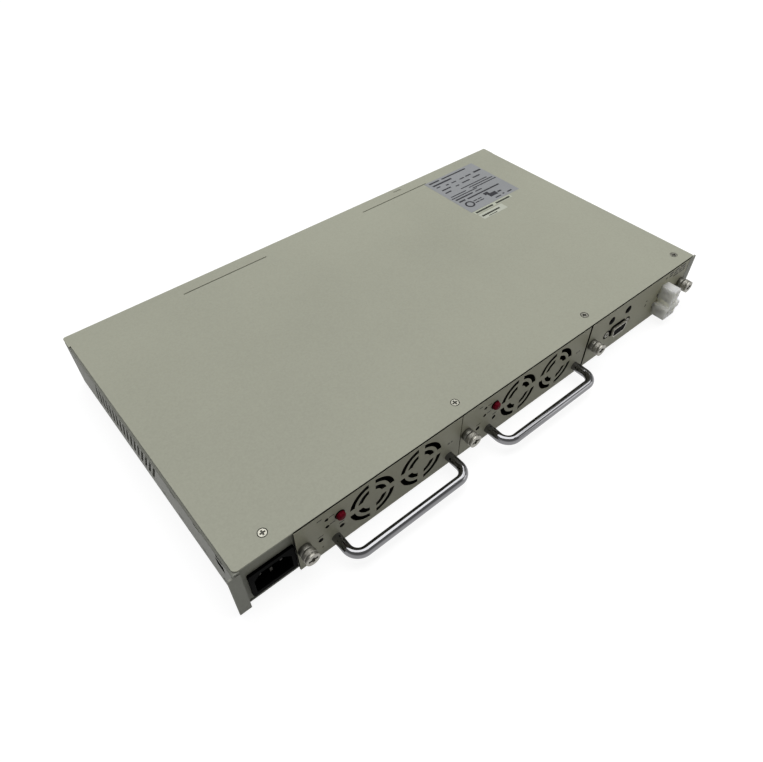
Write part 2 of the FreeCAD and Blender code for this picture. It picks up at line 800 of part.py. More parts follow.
def fan_frame(x):
    front = face_sheet
    rear = front + fan_depth
    half = fan_size / 2
    frame = block(x - half, x + half, front, rear, fan_z - half, fan_z + half)
    frame = rounded(frame, fan_corner, lambda c, d: along(d, REAR))
    bore = fan_size - 2 * fan_wall
    corner = half - fan_hole_inset
    holes = [rod(x, fan_z, bore, 0, rear + sheet)]
    holes += [rod(x + sx * corner, fan_z + sz * corner, fan_hole, 0, rear + sheet)
              for sx in (-1, 1) for sz in (-1, 1)]
    reach = half - fan_wall / 2
    struts = [block(x - wide, x + wide, rear - fan_strut, rear, fan_z - tall, fan_z + tall)
              for wide, tall in ((fan_strut / 2, reach), (reach, fan_strut / 2))]
    hub = rod(x, fan_z, fan_hub, rear - fan_strut, rear)
    shaft = rod(x, fan_z, fan_shaft, front + rotor_front_gap, rear)
    return join([frame.cut(holes), hub, shaft] + struts)


def fan_rotor(x):
    front = face_sheet + rotor_front_gap
    rear = face_sheet + fan_depth - fan_strut - rotor_rear_gap
    hub = rod(x, fan_z, rotor_hub, front, rear)
    tip = fan_size / 2 - fan_wall - rotor_tip_gap
    middle = V(x, (front + rear) / 2, fan_z)
    blades = []
    for i in range(rotor_blades):
        blade = Part.makeBox(tip - rotor_hub / 2 + 2 * blade_root, blade_chord, blade_thick,
                             V(rotor_hub / 2 - blade_root, -blade_chord / 2, -blade_thick / 2))
        blade.rotate(V(0, 0, 0), RIGHT, blade_angle)
        blade.rotate(V(0, 0, 0), REAR, 360.0 * i / rotor_blades)
        blade.translate(middle)
        blades.append(blade)
    swept = rod(x, fan_z, 2 * tip, front - fan_depth, rear + fan_depth)
    bore = rod(x, fan_z, fan_shaft + 2 * shaft_clearance, 0, 2 * fan_depth)
    return join([hub] + blades).common(swept).cut(bore)


def heat_sink(unit):
    left = tray_span(unit)[0] + sink_gap
    front = module_board_front + sink_front
    low = board_top(module_boss)
    pitch = (sink_width - sink_fin) / (sink_fins - 1)
    rear = front + sink_length
    base = block(left, left + sink_width, front, rear, low, low + sink_base)
    fins = [block(left + i * pitch, left + i * pitch + sink_fin, front, rear, low, low + sink_height)
            for i in range(sink_fins)]
    return join([base] + fins)


def transformer(unit):
    x = tray_span(unit)[0] + core_x
    y = module_board_front + core_y
    low = board_top(module_boss)
    core = block(x - core_width / 2, x + core_width / 2, y - core_depth / 2, y + core_depth / 2,
                 low, low + core_height)
    coil_low = low + (core_height - coil_height) / 2
    coil = block(x - coil_width / 2, x + coil_width / 2, y - coil_depth / 2, y + coil_depth / 2,
                 coil_low, coil_low + coil_height)
    coil = rounded(coil, coil_round, lambda c, d: along(d, UP))
    return join([core, coil])


def capacitors(unit):
    x = tray_span(unit)[1] - cap_inset
    low = board_top(module_boss)
    cans = []
    for i in range(cap_count):
        can = stud(x, module_board_front + cap_front + i * cap_pitch, cap_diameter, low, low + cap_height)
        cans.append(rounded(can, cap_round, lambda c, d: c.z > low + cap_height - 0.01))
    return Part.makeCompound(cans)


# Interface unit

data_middle = interface_x + data_x
data_height = face_low + data_z
output_x = interface_end - output_right
output_low = board_top(interface_boss)
output_middle = output_low + output_low_height
output_high = output_middle + output_high_height


def d_outline(width, height):
    """The D shape of the data connector: wider at the top, with sloping sides."""
    lean = height * math.tan(math.radians(shell_slope))
    return (
        (data_middle - width / 2 + lean, data_height - height / 2),
        (data_middle + width / 2 - lean, data_height - height / 2),
        (data_middle + width / 2, data_height + height / 2),
        (data_middle - width / 2, data_height + height / 2),
    )


def d_prism(grow, y0, y1):
    solid = prism(d_outline(shell_width + 2 * grow, shell_height + 2 * grow), y0, y1)
    return rounded(solid, shell_corner + grow, lambda c, d: along(d, REAR))


def jack_x():
    return (data_middle - jack_spacing / 2, data_middle + jack_spacing / 2)


def data_shell():
    flange = block(data_middle - shell_flange_width / 2, data_middle + shell_flange_width / 2,
                   face_sheet, face_sheet + shell_flange_thick,
                   data_height - shell_flange_height / 2, data_height + shell_flange_height / 2)
    tube = d_prism(0, -shell_reach, face_sheet + shell_flange_thick / 2)
    bore = d_prism(-shell_wall, -2 * shell_reach, 2 * face_sheet)
    holes = [rod(x, data_height, jack_shank + 2 * hole_clearance, 0, 2 * face_sheet) for x in jack_x()]
    return join([flange, tube]).cut([bore] + holes)


def data_insert():
    rear_face = face_sheet + shell_flange_thick
    nose = d_prism(-shell_wall, -shell_reach + insert_drop, rear_face + insert_rear / 2)
    body = block(data_middle - insert_rear_width / 2, data_middle + insert_rear_width / 2,
                 rear_face, rear_face + insert_rear,
                 output_low, data_height + insert_rear_height / 2)
    front = -shell_reach + insert_drop
    holes = []
    for count, z in ((5, data_height + contact_row / 2), (4, data_height - contact_row / 2)):
        for i in range(count):
            x = data_middle + (i - (count - 1) / 2) * contact_pitch
            holes.append(rod(x, z, contact_hole, front - sheet, front + contact_hole_depth))
    return join([nose, body]).cut(holes)


def jack_post(x):
    corner = jack_flats / math.sqrt(3)
    turns = [math.radians(60 * i) for i in range(6)]
    hexagon = [(x + corner * math.cos(turn), data_height + corner * math.sin(turn)) for turn in turns]
    nut = prism(hexagon, -jack_reach, face_sheet)
    shank = rod(x, data_height, jack_shank, face_sheet, face_sheet + jack_shank_length)
    thread = rod(x, data_height, jack_thread, -2 * jack_reach, -jack_reach + jack_thread_depth)
    return join([nut, shank]).cut(thread)


def output_outline(grow):
    wide = output_low_width / 2 + grow
    slim = output_high_width / 2 + grow
    return (
        (output_x - wide, output_low - grow),
        (output_x + wide, output_low - grow),
        (output_x + wide, output_middle + grow),
        (output_x + slim, output_middle + grow),
        (output_x + slim, output_high + grow),
        (output_x - slim, output_high + grow),
        (output_x - slim, output_middle + grow),
        (output_x - wide, output_middle + grow),
    )


def output_cavities():
    low_z = output_low + output_low_height / 2
    high_z = output_middle + output_high_height / 2
    return (
        (output_x - output_low_pitch / 2, low_z),
        (output_x + output_low_pitch / 2, low_z),
        (output_x, high_z - output_high_pitch / 2),
        (output_x, high_z + output_high_pitch / 2),
    )


def output_housing():
    body = prism(output_outline(0), -output_reach, output_rear)
    right = output_x + output_low_width / 2
    key = block(right, right + output_key_width, -output_reach, -output_reach + output_key_length,
                output_middle - output_key_height, output_middle)
    bottom = -output_reach + output_cavity_depth
    holes = []
    for x, z in output_cavities():
        holes.append(rod(x, z, output_cavity, -2 * output_reach, bottom))
        holes.append(rod(x, z, output_contact, 0, 2 * output_rear))
        holes.append(rod(x, z, output_contact, bottom - sheet, sheet))
    return join([body, key]).cut(holes)


def output_contacts():
    front = -output_reach + output_contact_setback
    return Part.makeCompound([rod(x, z, output_contact, front, output_rear + output_contact_tail)
                              for x, z in output_cavities()])


def interface_faceplate():
    plate = block(interface_x, interface_end, 0, face_sheet, face_low, face_top)
    holes = [faceplate_hole(thumb_x[name], face_mid, ferrule_neck) for name in interface_posts]
    holes.append(d_prism(shell_cutout_gap, -sheet, 2 * face_sheet))
    for x in jack_x():
        holes.append(faceplate_hole(x, data_height, jack_hole))
    for x in view_hole_x:
        holes.append(faceplate_hole(interface_x + x, face_low + view_hole_z, view_hole))
    holes.append(prism(output_outline(output_gap), -sheet, 2 * face_sheet))
    for wide, middle in ((output_high_width, output_middle + latch_slot_rise),
                         (output_low_width, output_middle - latch_slot_drop)):
        edge = output_x - wide / 2
        holes.append(block(edge - latch_slot_width, edge, -sheet, 2 * face_sheet,
                           middle - latch_slot_height / 2, middle + latch_slot_height / 2))
    return plate.cut(holes)


os.makedirs("parts", exist_ok=True)

save("chassis_tray", chassis_tray())
save("top_cover", top_cover())
save("cover_screws", Part.makeCompound([cover_screw(x) for x in cover_screw_x]))
save("inlet_panel", inlet_panel())
for name in posts:
    save(name, bay_post(name))
save("captive_nuts", Part.makeCompound([captive_nut(name) for name in posts]))
save("inlet_housing", inlet_housing())
save("inlet_pins", Part.makeCompound([inlet_pin(place) for place in pin_places]))
save("mains_wires", Part.makeCompound([mains_wire(place) for place in pin_places]))
save("backplane_board", backplane_board())
backplane_sockets = [backplane_socket(unit) for unit in range(3)]
save("backplane_connectors", Part.makeCompound([mains_terminal()] + backplane_sockets))

for unit, left in enumerate(module_x):
    module = "module_" + str(unit + 1) + "_"
    save(module + "faceplate", module_faceplate(left))
    save(module + "tray", tray(unit))
    save(module + "handle", handle(left))
    save(module + "handle_screws", handle_screws(left))
    save(module + "ferrule", ferrule(left + thumb_inset))
    save(module + "thumbscrew", thumbscrew(left + thumb_inset))
    for side, x in zip(("left", "right"), fan_x):
        save(module + "fan_frame_" + side, fan_frame(left + x))
        save(module + "fan_rotor_" + side, fan_rotor(left + x))
    save(module + "status_lens", status_lens(left))
    save(module + "indicator_lamps", indicator_lamps(left))
    save(module + "circuit_board", circuit_board(unit))
    save(module + "transformer", transformer(unit))
    save(module + "capacitors", capacitors(unit))
    save(module + "heat_sink", heat_sink(unit))
    save(module + "rear_plug", rear_plug(unit))

save("interface_faceplate", interface_faceplate())
save("interface_tray", tray(2))
save("interface_circuit_board", circuit_board(2))
save("interface_rear_plug", rear_plug(2))
save("interface_data_shell", data_shell())
save("interface_data_insert", data_insert())
save("interface_jack_posts", Part.makeCompound([jack_post(x) for x in jack_x()]))
save("interface_output_housing", output_housing())
save("interface_output_contacts", output_contacts())
save("interface_ferrules", Part.makeCompound([ferrule(thumb_x[name]) for name in interface_posts]))
for side, name in zip(("left", "right"), interface_posts):
    save("interface_thumbscrew_" + side, thumbscrew(thumb_x[name]))
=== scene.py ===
import math

import bmesh
import bpy
from mathutils import Euler, Matrix, Vector


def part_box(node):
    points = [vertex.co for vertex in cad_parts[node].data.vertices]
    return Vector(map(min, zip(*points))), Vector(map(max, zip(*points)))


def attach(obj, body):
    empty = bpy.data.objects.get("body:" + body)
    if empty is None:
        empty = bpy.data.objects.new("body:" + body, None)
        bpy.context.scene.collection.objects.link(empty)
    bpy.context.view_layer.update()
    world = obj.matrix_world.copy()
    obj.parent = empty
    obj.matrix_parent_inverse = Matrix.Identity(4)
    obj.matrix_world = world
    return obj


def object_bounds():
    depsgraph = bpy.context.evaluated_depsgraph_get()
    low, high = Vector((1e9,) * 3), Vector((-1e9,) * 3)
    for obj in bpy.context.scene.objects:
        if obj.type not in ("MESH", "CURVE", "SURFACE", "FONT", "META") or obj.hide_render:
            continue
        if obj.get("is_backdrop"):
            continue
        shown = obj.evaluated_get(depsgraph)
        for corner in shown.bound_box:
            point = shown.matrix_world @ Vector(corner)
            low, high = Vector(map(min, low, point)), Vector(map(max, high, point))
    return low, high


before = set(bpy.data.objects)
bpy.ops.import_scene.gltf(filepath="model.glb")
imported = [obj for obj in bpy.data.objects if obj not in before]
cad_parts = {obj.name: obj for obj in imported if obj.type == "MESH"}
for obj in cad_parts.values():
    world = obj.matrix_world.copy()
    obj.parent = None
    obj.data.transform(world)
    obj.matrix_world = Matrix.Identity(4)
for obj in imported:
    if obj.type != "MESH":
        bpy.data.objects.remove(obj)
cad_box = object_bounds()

# Chassis tray and inlet panel. The chassis is one folded steel sheet with a floor, side walls, rear wall
# and front flanges; the inlet panel is a small folded sheet behind the left flange.
# Both carry a stoved putty-grey paint with a very fine texture, in darker copies than the cover's as painted
# shade; the cut faces of the slots nearest the front are painted dark as shade.


def tone(red, green, blue):
    """A colour as it looks on a screen, 0 to 255, as the shader's own values."""
    values = [c / 255 for c in (red, green, blue)]
    return tuple(c / 12.92 if c <= 0.04045 else ((c + 0.055) / 1.055) ** 2.4 for c in values)


def darker(colour, share):
    """A colour at a share of its brightness; a share above 1 makes it lighter."""
    return tuple(c * share for c in colour)


def new_finish(name, colour, roughness, metallic=0.0, specular=0.5):
    """Starts a finish: its material, its nodes, its shader and the piece's own coordinates in metres."""
    finish = bpy.data.materials.new(name)
    finish.use_nodes = True
    tree = finish.node_tree
    shader = tree.nodes["Principled BSDF"]
    shader.inputs["Base Color"].default_value = (*colour, 1)
    shader.inputs["Roughness"].default_value = roughness
    shader.inputs["Metallic"].default_value = metallic
    shader.inputs["Specular IOR Level"].default_value = specular
    place = tree.nodes.new("ShaderNodeTexCoord").outputs["Object"]
    return finish, tree, shader, place


def grain(tree, place, size, detail=3.0, stretch=(1, 1, 1)):
    """A cloudy pattern whose patches are about size metres across, stretched along an axis if asked."""
    spread = tree.nodes.new("ShaderNodeMapping")
    spread.inputs["Scale"].default_value = [1 / s for s in stretch]
    noise = tree.nodes.new("ShaderNodeTexNoise")
    noise.inputs["Scale"].default_value = 0.5 / size
    noise.inputs["Detail"].default_value = detail
    tree.links.new(place, spread.inputs["Vector"])
    tree.links.new(spread.outputs["Vector"], noise.inputs["Vector"])
    return noise.outputs["Fac"]


def feed(tree, value, socket):
    """Leads an output to a socket, or sets a plain number or colour there."""
    if isinstance(value, bpy.types.NodeSocket):
        tree.links.new(value, socket)
    else:
        socket.default_value = value


def worked(tree, operation, *values):
    """One step of arithmetic on outputs and numbers."""
    step = tree.nodes.new("ShaderNodeMath")
    step.operation = operation
    for value, socket in zip(values, step.inputs):
        feed(tree, value, socket)
    return step.outputs["Value"]


def mixed(tree, share, first, second, kind="RGBA"):
    """Goes from the first colour or number to the second by a share from 0 to 1."""
    mix = tree.nodes.new("ShaderNodeMix")
    mix.data_type = kind
    feed(tree, share, mix.inputs["Factor"])
    feed(tree, first, mix.inputs["A"])
    feed(tree, second, mix.inputs["B"])
    return mix.outputs["Result"]


def ranged(tree, value, start, end, low=0.0, high=1.0):
    """Carries a value that runs from start to end over to one that runs from low to high."""
    scale = tree.nodes.new("ShaderNodeMapRange")
    scale.inputs["From Min"].default_value = start
    scale.inputs["From Max"].default_value = end
    scale.inputs["To Min"].default_value = low
    scale.inputs["To Max"].default_value = high
    tree.links.new(value, scale.inputs["Value"])
    return scale.outputs["Result"]


def axes_of(tree, place):
    """The X, Y and Z of a place, each on its own output."""
    axes = tree.nodes.new("ShaderNodeSeparateXYZ")
    tree.links.new(place, axes.inputs["Vector"])
    return axes.outputs


def ramp(tree, pattern, stops):
    """Turns a pattern into colour with stops of (position, colour)."""
    scale = tree.nodes.new("ShaderNodeValToRGB")
    points = scale.color_ramp.elements
    while len(points) < len(stops):
        points.new(0.5)
    for point, (position, colour) in zip(points, stops):
        point.position = position
        point.color = (*colour, 1)
    tree.links.new(pattern, scale.inputs["Fac"])
    return scale.outputs["Color"]


def colour_by(tree, shader, pattern, stops):
    """Lets a pattern carry the colour through its stops."""
    tree.links.new(ramp(tree, pattern, stops), shader.inputs["Base Color"])


def gloss_by(tree, shader, pattern, low, high):
    """Lets a pattern carry the roughness from low to high."""
    tree.links.new(ranged(tree, pattern, 0.3, 0.7, low, high), shader.inputs["Roughness"])


def raised_by(tree, shader, pattern, height, strength):
    """Raises the surface by a pattern, height metres at most."""
    bump = tree.nodes.new("ShaderNodeBump")
    bump.inputs["Strength"].default_value = strength
    bump.inputs["Distance"].default_value = height
    tree.links.new(pattern, bump.inputs["Height"])
    tree.links.new(bump.outputs["Normal"], shader.inputs["Normal"])


paint_sheen = 0.2
shade_sheen = 0.02


def textured_paint(name, colour):
    """Stoved paint: a fine orange-peel texture with slightly uneven colour and gloss."""
    finish, tree, shader, place = new_finish(name, colour, roughness=0.5, specular=paint_sheen)
    cloud = grain(tree, place, size=0.06)
    peel = grain(tree, place, size=0.0007, detail=2.0)
    stops = [(0.30, darker(colour, 0.92)), (0.50, colour), (0.70, darker(colour, 1.07))]
    colour_by(tree, shader, mixed(tree, 0.45, cloud, peel, kind="FLOAT"), stops)
    gloss_by(tree, shader, cloud, low=0.46, high=0.58)
    raised_by(tree, shader, peel, height=0.00004, strength=0.5)
    return finish


def painted_shade_in_cuts(finish, *zones):
    """Paints shade on cut faces of the sheet: dark and dull, as they look in the shadow of holes and edges.
    A zone is a list of (axis, low, high) in metres; one whose X starts above 0 counts on both sides of the
    shelf."""
    tree = finish.node_tree
    shader = tree.nodes["Principled BSDF"]
    place = tree.nodes.new("ShaderNodeTexCoord").outputs["Object"]
    axes = axes_of(tree, place)
    share = 0.0
    for zone in zones:
        inside = 1.0
        for axis, low, high in zone:
            value = axes[axis]
            if axis == "X" and low > 0:
                value = worked(tree, "ABSOLUTE", value)
            within = worked(tree, "COMPARE", value, (low + high) / 2, (high - low) / 2)
            inside = worked(tree, "MULTIPLY", inside, within)
        share = worked(tree, "MAXIMUM", share, inside)
    # Painted shade: the dark, dull colour of the cut faces, with little sheen.
    cut = tone(26, 26, 23)
    cut_shade = ramp(tree, grain(tree, place, size=0.002), [(0.3, darker(cut, 0.7)), (0.7, cut)])
    paint = shader.inputs["Base Color"].links[0].from_socket
    tree.links.new(mixed(tree, share, paint, cut_shade), shader.inputs["Base Color"])
    sheen = ranged(tree, share, 0, 1, low=paint_sheen, high=shade_sheen)
    tree.links.new(sheen, shader.inputs["Specular IOR Level"])


def coat(finish, *nodes):
    """Puts a finish on every slot of these pieces."""
    for node in nodes:
        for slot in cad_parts[node].material_slots:
            slot.material = finish


def ease_edges(width, *nodes):
    """Breaks the sharp edges of pieces by width metres, as paint, tumbling or moulding leaves them."""
    for node in nodes:
        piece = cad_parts[node]
        weld = piece.modifiers.new("joined", "WELD")
        weld.merge_threshold = 0.000002
        flat = piece.modifiers.new("flats", "DECIMATE")
        flat.decimate_type = "DISSOLVE"
        flat.angle_limit = math.radians(0.5)
        edge = piece.modifiers.new("edges", "BEVEL")
        edge.width = width
        edge.segments = 2
        edge.limit_method = "ANGLE"
        edge.angle_limit = math.radians(35)
        edge.harden_normals = True
        edge.use_clamp_overlap = True


# Painted shade: the inlet panel's paint is a darker copy of the cover's, for the shade under the cover's
# front edge.
coat(textured_paint("shaded_panel_paint", tone(132, 133, 121)), "inlet_panel")
chassis_low, chassis_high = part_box("chassis_tray")
flange_reach = 0.0032
wall_out = chassis_high.x - flange_reach
cut_in_wall = (0.00002, 0.0011)
cut_behind_front = (0.0014, 0.0300)
cut_margin = 0.0022
front_slots = [("X", wall_out - cut_in_wall[1], wall_out - cut_in_wall[0]),
               ("Y", chassis_low.y + cut_behind_front[0], chassis_low.y + cut_behind_front[1]),
               ("Z", chassis_low.z + cut_margin, chassis_high.z - cut_margin)]
# Painted shade: the chassis paint is a darker copy of the cover's, for the shade on its side walls.
shaded_chassis_paint = textured_paint("shaded_chassis_paint", tone(139, 140, 131))
# Painted shade: the cut faces of the front slots in the side walls are darkened.
painted_shade_in_cuts(shaded_chassis_paint, front_slots)
coat(shaded_chassis_paint, "chassis_tray")
paint_edge = 0.0001
ease_edges(paint_edge, "chassis_tray", "inlet_panel")

# Bay posts and captive nuts. The posts are folded channels of zinc-plated steel that stand between the
# bays and carry the cover; a nut is pressed into the front of each for the thumbscrews.


def plated_sheet(name, colour):
    """Zinc-plated sheet: faint spangle and drawing lines along the fold."""
    finish, tree, shader, place = new_finish(name, colour, roughness=0.38, metallic=1.0)
    spangle = grain(tree, place, size=0.006, detail=2.0)
    lines = grain(tree, place, size=0.0004, detail=2.0, stretch=(1, 40, 1))
    colour_by(tree, shader, spangle, [(0.30, darker(colour, 0.82)), (0.70, darker(colour, 1.08))])
    gloss_by(tree, shader, spangle, low=0.30, high=0.45)
    raised_by(tree, shader, lines, height=0.00002, strength=0.35)
    return finish


plated_steel = plated_sheet("plated_steel", tone(160, 160, 155))
posts = ["bay_post_left", "bay_post_middle", "bay_post_right", "bay_post_end"]
coat(plated_steel, "captive_nuts", *posts)

# Mains inlet. A black moulded housing clipped into the inlet panel, with three plated blades for a lead's
# connector; the mouth has two cut-off upper corners so that a connector goes in one way only.


def moulding(name, colour, roughness=0.42, specular=0.3):
    """Moulded plastic with a fine spark-eroded texture."""
    finish, tree, shader, place = new_finish(name, colour, roughness, specular=specular)
    cloud = grain(tree, place, size=0.015)
    speck = grain(tree, place, size=0.0003, detail=2.0)
    colour_by(tree, shader, cloud, [(0.30, darker(colour, 0.75)), (0.70, darker(colour, 1.25))])
    gloss_by(tree, shader, cloud, roughness - 0.06, roughness + 0.08)
    raised_by(tree, shader, speck, height=0.00002, strength=0.5)
    return finish


def plated_contact(name, colour):
    """Tin-plated brass: bright, with faint wiping marks along the contact."""
    finish, tree, shader, place = new_finish(name, colour, roughness=0.25, metallic=1.0)
    wipes = grain(tree, place, size=0.0004, detail=2.0, stretch=(1, 30, 1))
    colour_by(tree, shader, wipes, [(0.3, darker(colour, 0.85)), (0.7, colour)])
    gloss_by(tree, shader, wipes, low=0.36, high=0.50)
    return finish


black_plastic = moulding("black_plastic", tone(4, 4, 4), roughness=0.5, specular=0.01)
coat(black_plastic, "inlet_housing")
moulded_edge = 0.0003
ease_edges(moulded_edge, "inlet_housing")
# Painted shade: the tin-plated blades get a very dark tone, for the shade deep in the inlet's black mouth;
# the output connector's contacts share it.
contact_metal = plated_contact("contact_metal", tone(50, 48, 44))
coat(contact_metal, "inlet_pins")
blade_edge = 0.0004
ease_edges(blade_edge, "inlet_pins")

# Mains wires. Three insulated conductors pushed on to the inlet's tabs and screwed into the backplane's
# terminal, in extruded plastic with a slight sheen.
coat(moulding("wire_cover", tone(58, 62, 70), roughness=0.36), "mains_wires")

# Backplane, circuit boards and plugs. The boards are green coated glass laminate with copper tracks under
# the coating; the sockets and plugs are dark moulded plastic soldered to them.


def coated_laminate(name, colour, track):
    """Solder resist over straight copper tracks, which show as lighter lines."""
    finish, tree, shader, place = new_finish(name, colour, roughness=0.32)
    runs = tree.nodes.new("ShaderNodeTexBrick")
    runs.inputs["Scale"].default_value = 90.0
    runs.inputs["Mortar Size"].default_value = 0.035
    runs.inputs["Brick Width"].default_value = 2.3
    runs.inputs["Row Height"].default_value = 0.22
    runs.offset = 0.37
    runs.inputs["Color1"].default_value = (*colour, 1)
    runs.inputs["Color2"].default_value = (*darker(colour, 0.88), 1)
    runs.inputs["Mortar"].default_value = (*track, 1)
    tree.links.new(place, runs.inputs["Vector"])
    tree.links.new(runs.outputs["Color"], shader.inputs["Base Color"])
    raised_by(tree, shader, runs.outputs["Fac"], height=0.00004, strength=0.4)
    return finish


laminate = coated_laminate("board_laminate", tone(22, 74, 44), track=tone(48, 110, 66))
modules = ["module_1", "module_2"]
units = [*modules, "interface"]
coat(laminate, "backplane_board", *[unit + "_circuit_board" for unit in units])
plugs = ["backplane_connectors", *[unit + "_rear_plug" for unit in units]]
coat(moulding("dark_plastic", tone(34, 34, 36)), *plugs)
ease_edges(moulded_edge, *plugs)

# Module and interface trays. Each is one zinc-plated sheet folded to a trough, with pressed bosses for the
# board and tabs spot-welded to the back of the faceplate.
coat(plated_steel, *[unit + "_tray" for unit in units])

# Heat sinks. A comb of bare aluminium in each module, extruded as a bar and cut to length.
# It stands on the module's board in the fans' air.


def extruded_aluminium(name, colour):
    """Bare extrusion: fine die lines along its length."""
    finish, tree, shader, place = new_finish(name, colour, roughness=0.35, metallic=1.0)
    lines = grain(tree, place, size=0.0005, stretch=(1, 60, 1))
    colour_by(tree, shader, lines, [(0.3, darker(colour, 0.8)), (0.7, colour)])
    gloss_by(tree, shader, lines, low=0.26, high=0.44)
    raised_by(tree, shader, lines, height=0.00003, strength=0.5)
    return finish


coat(extruded_aluminium("sink_aluminium", tone(190, 192, 196)), *[m + "_heat_sink" for m in modules])

# Transformers. A dark ferrite core with a coil wound through it, soldered to the module's board.
# The coil is wrapped in yellow tape, which shows in front of and behind the core.
core_depth = 0.018
core_margin = 0.0001
tape = tone(190, 142, 44)
ferrite = tone(52, 50, 50)
for module in modules:
    low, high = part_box(module + "_transformer")
    finish, tree, shader, place = new_finish(module + "_winding", tape, roughness=0.5)
    depth = axes_of(tree, place)["Y"]
    in_core = worked(tree, "COMPARE", depth, (low.y + high.y) / 2, core_depth / 2 + core_margin)
    cloud = grain(tree, place, size=0.004)
    wrap = ramp(tree, cloud, [(0.3, darker(tape, 0.8)), (0.7, tape)])
    core = ramp(tree, cloud, [(0.3, darker(ferrite, 0.7)), (0.7, ferrite)])
    tree.links.new(mixed(tree, in_core, wrap, core), shader.inputs["Base Color"])
    raised_by(tree, shader, grain(tree, place, size=0.0006, detail=2.0), height=0.00003, strength=0.5)
    coat(finish, module + "_transformer")

# Capacitors. Three aluminium cans on each module's board, soldered in by their leads.
# A dark shrink sleeve covers their sides and leaves a bright disc on top.
sleeve = tone(26, 30, 44)
can_top = tone(190, 192, 194)
top_margin = 0.0003
can_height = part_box("module_1_capacitors")[1].z
finish, tree, shader, place = new_finish("capacitor_sleeve", sleeve, roughness=0.3)
on_top = worked(tree, "GREATER_THAN", axes_of(tree, place)["Z"], can_height - top_margin)
tree.links.new(on_top, shader.inputs["Metallic"])
shrunk = ramp(tree, grain(tree, place, size=0.003), [(0.3, darker(sleeve, 0.8)), (0.7, sleeve)])
tree.links.new(mixed(tree, on_top, shrunk, (*can_top, 1)), shader.inputs["Base Color"])
coat(finish, *[m + "_capacitors" for m in modules])

# Fans. Two black moulded axial fans behind each module faceplate; the rotor's hub and blades are one
# moulding that turns on the frame's shaft.
fan_plastic = moulding("fan_plastic", tone(15, 15, 14), roughness=0.5, specular=0.15)
for module in modules:
    for side in ("left", "right"):
        coat(fan_plastic, f"{module}_fan_frame_{side}", f"{module}_fan_rotor_{side}")

# Faceplates. Flat steel plates in the same paint as the shelf, in a browner and darker copy as painted
# shade, punched with ring-shaped grilles in front of the fans and with holes for lamps, handles and
# connectors; all their cut edges are painted dark as shade.
faceplates = [unit + "_faceplate" for unit in units]
plate_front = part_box("module_1_faceplate")[0].y
punched_depth = (0.0002, 0.00115)
# Painted shade: the faceplate paint is a browner, darker copy of the cover's, for the shaded fronts.
face_paint = textured_paint("face_paint", tone(151, 150, 132))
# Painted shade: every face between the plate's front and back, in the grille slots, holes and outer edges,
# is darkened.
painted_shade_in_cuts(face_paint, [("Y", plate_front + punched_depth[0], plate_front + punched_depth[1])])
coat(face_paint, *faceplates)
plate_edge = 0.00012
ease_edges(plate_edge, *faceplates)

# Printed marks. Plain bars of dark ink on the faceplates, beside the lamps, handles and connectors.
# They are screen printed over the paint, a few hundredths of a millimetre thick.
mm = 0.001
ink_thick = 0.04 * mm
legend_ink = moulding("legend_ink", tone(44, 43, 38), roughness=0.55)


def fitted(name, form, finish, body):
    """Makes a piece of a form, gives it its finish and fixes it to the body that carries it."""
    mesh = bpy.data.meshes.new(name)
    form.to_mesh(mesh)
    form.free()
    piece = bpy.data.objects.new(name, mesh)
    bpy.context.scene.collection.objects.link(piece)
    piece.data.materials.append(finish)
    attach(piece, body)


def flat_boxes(boxes):
    """A form of thin boxes, each given by its low corner and its size."""
    form = bmesh.new()
    for low, size in boxes:
        stretch = Matrix.Diagonal((*size, 1))
        bmesh.ops.create_cube(form, size=1, matrix=Matrix.Translation(low + size / 2) @ stretch)
    return form


def printed_front(unit, bars):
    """Ink on a unit's faceplate. A bar is left, up, length and height in millimetres from the plate's lower
    left corner."""
    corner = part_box(unit + "_faceplate")[0] - Vector((0, ink_thick, 0))
    boxes = [(corner + Vector((left, 0, up)) * mm, Vector((length * mm, ink_thick, height * mm)))
             for left, up, length, height in bars]
    fitted(unit + "_marks", flat_boxes(boxes), legend_ink, unit)


module_bars = [
    (14.2, 20.0, 4.0, 0.7), (29.5, 20.0, 4.0, 0.7), (15.0, 36.4, 3.4, 0.8), (23.4, 33.3, 3.6, 0.7),
    (23.4, 26.0, 3.6, 0.7), (116.8, 21.8, 2.0, 1.2), (119.6, 21.8, 1.6, 1.2),
]
for module in modules:
    printed_front(module, module_bars)
interface_bars = [
    (92.0, 36.0, 2.2, 1.6), (86.4, 22.0, 1.8, 2.0), (71.6, 19.6, 1.4, 2.2), (71.6, 24.4, 1.4, 1.2),
    (96.2, 38.4, 5.0, 1.6), (96.8, 35.6, 4.4, 1.6), (103.2, 38.4, 6.0, 1.5), (111.0, 38.4, 7.0, 1.5),
    (103.2, 35.8, 4.4, 1.5), (109.4, 35.8, 4.0, 1.5), (115.0, 35.8, 4.0, 1.5), (103.2, 33.2, 7.0, 1.5),
    (111.8, 33.2, 3.6, 1.5), (116.4, 33.2, 3.0, 1.5),
]
printed_front("interface", interface_bars)

